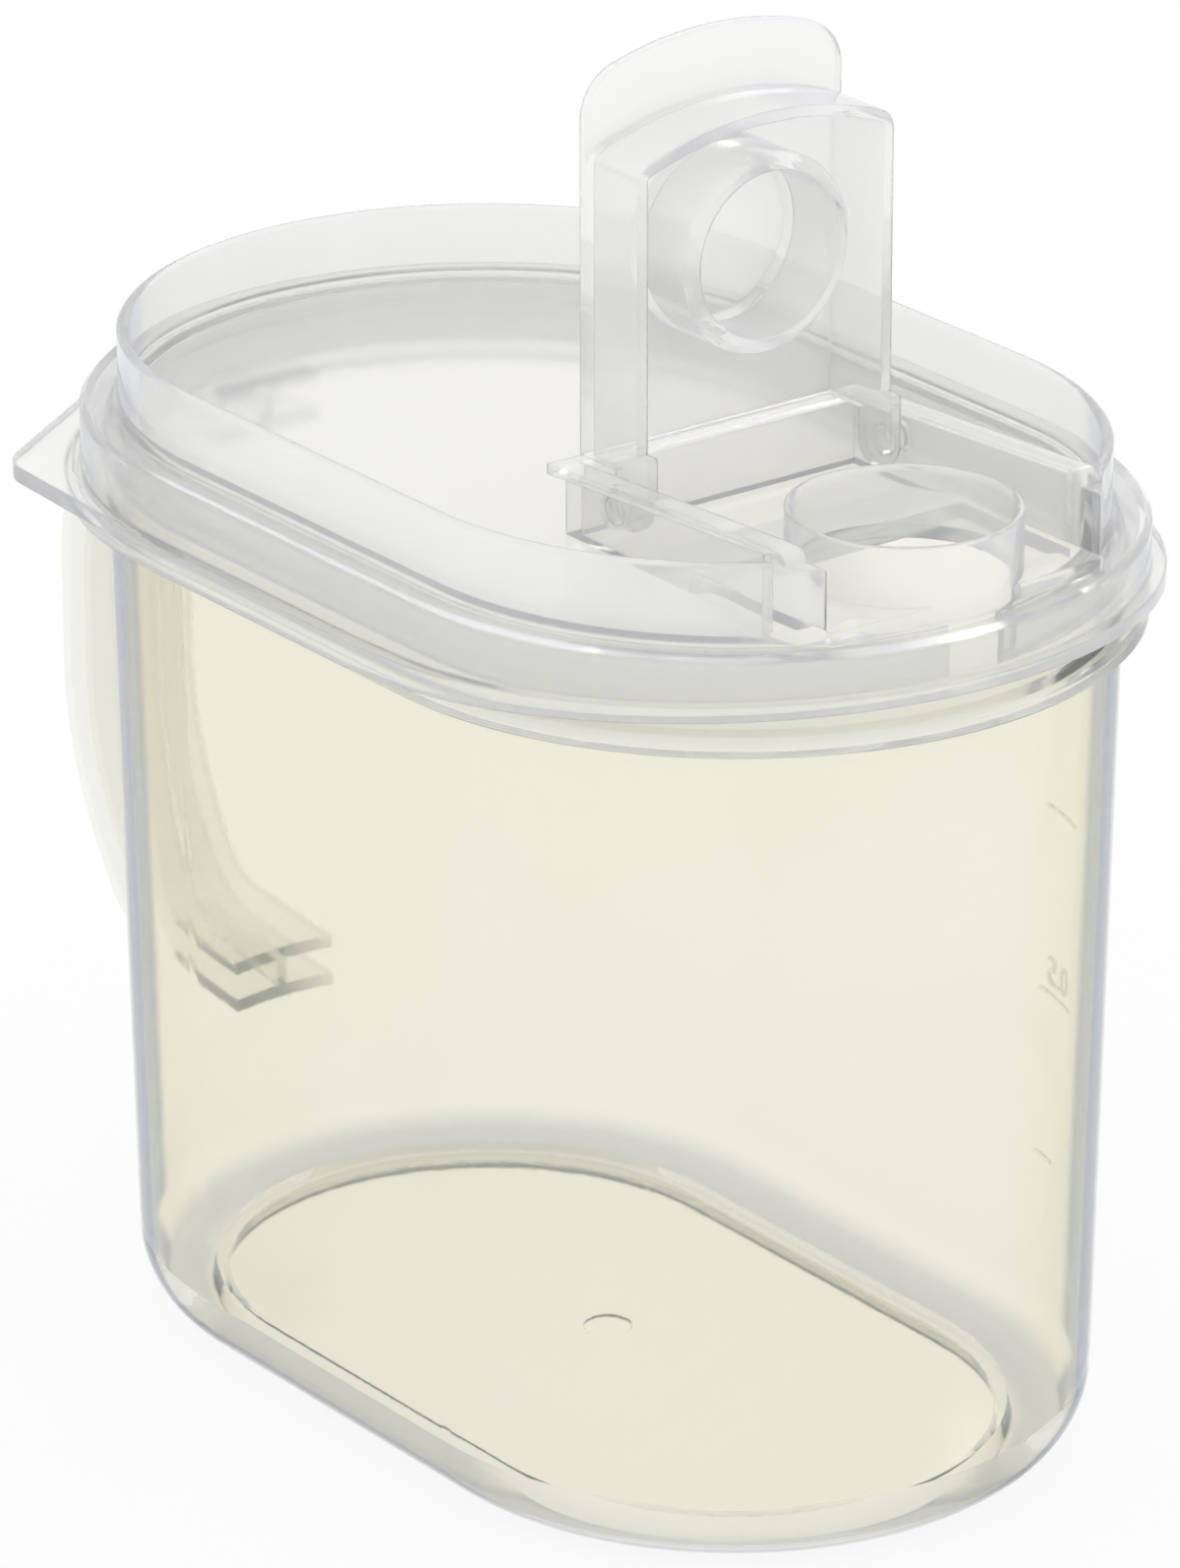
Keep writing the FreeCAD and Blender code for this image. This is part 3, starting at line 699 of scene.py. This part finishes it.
@dataclass
class Studio:
    """The pale floor, the white surround, the soft lamps and the camera.

    Attributes:
        azimuth: Camera's turn round the object, in degrees from the front.
        elevation: Camera's height angle, in degrees.
        roll: Camera's roll, in degrees.
        distance: Distance from the camera to its target.
        target: The point that the camera looks at.
        focal_px: Focal length in pixels of the photograph.
        clip: Nearest and farthest distance that the camera sees.
        floor_size: Half the floor's width.
        floor_drop: How far the floor lies below the object's foot.
        floor_grey: Share of the light that the floor throws back.
        shadow_share: Share of the floor's real light that is seen.
        ceiling: The heights, from 0 level to 1 overhead, between which the surround dims.
        ceiling_tint: Colour of the surround overhead.
        fill: Strength of the light that the surround throws.
        fill_tint: Colour of that light.
        lamps: The lamps.
    """

    azimuth: float = 52.98
    elevation: float = 22.18
    roll: float = -0.085
    distance: float = 1138.8 * MM
    target: Triple = (12.17 * MM, -11.84 * MM, 85.33 * MM)
    focal_px: float = 9356.46
    clip: Pair = (0.05, 50.0)
    floor_size: float = 6.0
    floor_drop: float = 0.05 * MM
    floor_grey: float = 0.9
    shadow_share: float = 0.12
    ceiling: Pair = (0.45, 0.95)
    ceiling_tint: Triple = (0.78, 0.79, 0.90)
    fill: float = 1.0
    fill_tint: Triple = (0.97, 0.98, 1.0)
    lamps: tuple[Lamp, ...] = (Lamp("key", (0.5, -1.1, 1.5), 0.3, 1.6),
                               Lamp("back", (-0.9, 1.1, 1.0), 0.5, 1.6),
                               Lamp("side", (1.4, 0.2, 0.7), 0.3, 0.8))

    def _back(self) -> Vector:
        """Give the direction from the object to the camera.

        Returns:
            A vector of length 1.
        """
        turn = math.radians(self.azimuth)
        rise = math.radians(self.elevation)
        flat = math.cos(rise)
        return Vector((math.sin(turn) * flat, -math.cos(turn) * flat, math.sin(rise)))

    def camera(self) -> None:
        """Place the camera where the photograph was taken from."""
        data = bpy.data.cameras.new("camera")
        data.sensor_width = SENSOR_MM
        data.sensor_fit = "AUTO"
        data.lens = self.focal_px / max(PHOTO_SIZE) * SENSOR_MM
        data.clip_start, data.clip_end = self.clip
        made = bpy.data.objects.new("camera", data)
        bpy.context.scene.collection.objects.link(made)
        back = self._back()
        made.location = Vector(self.target) + back * self.distance
        turn = (-back).to_track_quat("-Z", "Y").to_matrix()
        made.rotation_euler = (turn @ Matrix.Rotation(math.radians(self.roll), 3, "Z")).to_euler()
        bpy.context.scene.camera = made

    def _seen(self, tree: Tree) -> Socket:
        """Tell the rays that show a surface from those that light one.

        Args:
            tree: The tree that asks.

        Returns:
            1 for a camera, glossy or transmission ray that nothing has scattered, else 0.
        """
        path = tree.node("ShaderNodeLightPath")
        camera = tree.value(path, "Is Camera Ray")
        glossy = tree.value(path, "Is Glossy Ray")
        passed = tree.value(path, "Is Transmission Ray")
        scattered = tree.value(path, "Diffuse Depth").low(1.0)
        return camera.high(glossy).high(passed) * (1.0 - scattered)

    def floor(self) -> None:
        """Lay the pale floor. It shows white, and keeps a share of the object's shadow."""
        mesh = bpy.data.meshes.new("floor")
        shape = bmesh.new()
        bmesh.ops.create_grid(shape, x_segments=1, y_segments=1, size=self.floor_size)
        bmesh.ops.translate(shape, verts=shape.verts, vec=(0.0, 0.0, -self.floor_drop))
        shape.to_mesh(mesh)
        shape.free()
        made = bpy.data.objects.new("floor", mesh)
        bpy.context.scene.collection.objects.link(made)
        material = bpy.data.materials.new("floor_white")
        material.use_nodes = True
        tree = Tree(material.node_tree)
        grey = (self.floor_grey, self.floor_grey, self.floor_grey, 1.0)
        matt = tree.value(tree.node("ShaderNodeBsdfDiffuse", {}, {"Color": grey}))
        white = tree.value(tree.node("ShaderNodeEmission", {}, {"Color": (1.0, 1.0, 1.0, 1.0)}))
        share = self._seen(tree) * (1.0 - self.shadow_share)
        tree.node("ShaderNodeOutputMaterial", {}, {"Surface": tree.blend(share, matt, white)})
        mesh.materials.append(material)

    def _even(self, tree: Tree, colour: Triple, strength: float = 1.0) -> Socket:
        """Make one even surround.

        Args:
            tree: The world's tree.
            colour: Its colour.
            strength: Its strength.

        Returns:
            The surround's shader.
        """
        made = tree.node("ShaderNodeBackground", {}, {"Color": (*colour, 1.0),
                                                      "Strength": strength})
        return tree.value(made)

    def world(self) -> None:
        """Surround the object: white where it shows, dimmer overhead, a soft fill where it lights."""
        made = bpy.data.worlds.new("surround")
        bpy.context.scene.world = made
        made.use_nodes = True
        tree = Tree(made.node_tree)
        path = tree.node("ShaderNodeLightPath")
        place = tree.value(tree.node("ShaderNodeTexCoord"), "Generated")
        overhead = (tree.part(place, "Z").between(*self.ceiling)
                    * (1.0 - tree.value(path, "Is Camera Ray")))
        white = self._even(tree, (1.0, 1.0, 1.0))
        shown = tree.blend(overhead, white, self._even(tree, self.ceiling_tint))
        fill = self._even(tree, self.fill_tint, self.fill)
        tree.node("ShaderNodeOutputWorld", {},
                  {"Surface": tree.blend(self._seen(tree), fill, shown)})

    def hang(self, lamp: Lamp) -> None:
        """Hang a lamp so that it faces the object.

        Args:
            lamp: The lamp.
        """
        data = bpy.data.lights.new(lamp.name, "AREA")
        data.shape = "SQUARE"
        data.size = lamp.size
        data.energy = lamp.watts
        made = bpy.data.objects.new(lamp.name, data)
        bpy.context.scene.collection.objects.link(made)
        made.location = lamp.place
        aim = Vector(self.target) - Vector(lamp.place)
        made.rotation_euler = aim.to_track_quat("-Z", "Y").to_euler()

    def build(self) -> None:
        """Set the whole studio up."""
        bpy.context.scene.view_settings.view_transform = "Standard"
        self.camera()
        self.floor()
        self.world()
        for lamp in self.lamps:
            self.hang(lamp)
        LOG.info("studio is set")


def main() -> None:
    """Build the scene: the studio, then the dressed mouldings and the marks."""
    Studio().build()
    Mouldings().build()


if __name__ == "__main__":
    main()
